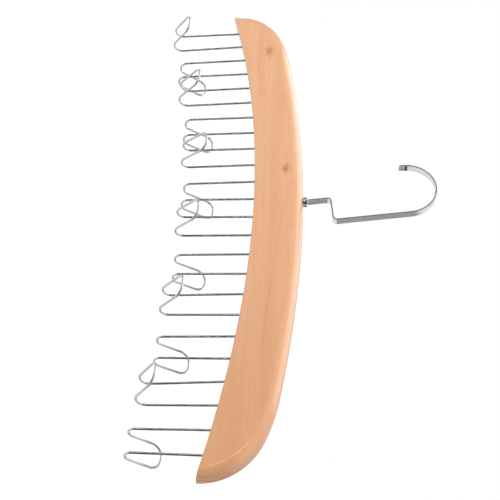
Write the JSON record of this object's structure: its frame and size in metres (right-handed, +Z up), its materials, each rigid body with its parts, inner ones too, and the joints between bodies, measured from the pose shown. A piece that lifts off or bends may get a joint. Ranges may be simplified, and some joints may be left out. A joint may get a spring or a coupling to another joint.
{
  "type": "tie hanger",
  "caption": "Wooden tie hanger: a crescent board with bent wire loops on alternate sides and a flat, stepped hook that swivels on a collar.",
  "frame": {"origin": "centre of the hook's crown, which is the centre of the rod that the hanger hangs on", "axes": "+Z up, +X along the board towards the side that the hook's shank stands on, -Y the front, +Y along the rod"},
  "size_m": [0.427, 0.0542, 0.217],
  "materials": {
    "lacquered_wood": "light hardwood, sanded, with a clear satin lacquer",
    "hook_steel": "flat steel strip, brightly plated",
    "collar_metal": "turned and plated, polished",
    "screw_steel": "plain steel, hidden in the wood",
    "loop_wire": "bent steel wire, brightly plated"
  },
  "bodies": {
    "hook": {"flat_hook": "hook_steel"},
    "hanger_bar": {"board": "lacquered_wood", "swivel_collar": "collar_metal", "anchor_screw": "screw_steel", "front_loop_1": "loop_wire", "front_loop_2": "loop_wire", "front_loop_3": "loop_wire", "front_loop_4": "loop_wire", "front_loop_5": "loop_wire", "front_loop_6": "loop_wire", "back_loop_1": "loop_wire", "back_loop_2": "loop_wire", "back_loop_3": "loop_wire", "back_loop_4": "loop_wire", "back_loop_5": "loop_wire", "back_loop_6": "loop_wire"}
  },
  "joints": [
    {"name": "board_swivel", "type": "hinge", "parent": "hook", "child": "hanger_bar", "pos_m": [0.00898, 0, -0.0746], "axis": [0, 0, 1], "continuous": true}
  ]
}
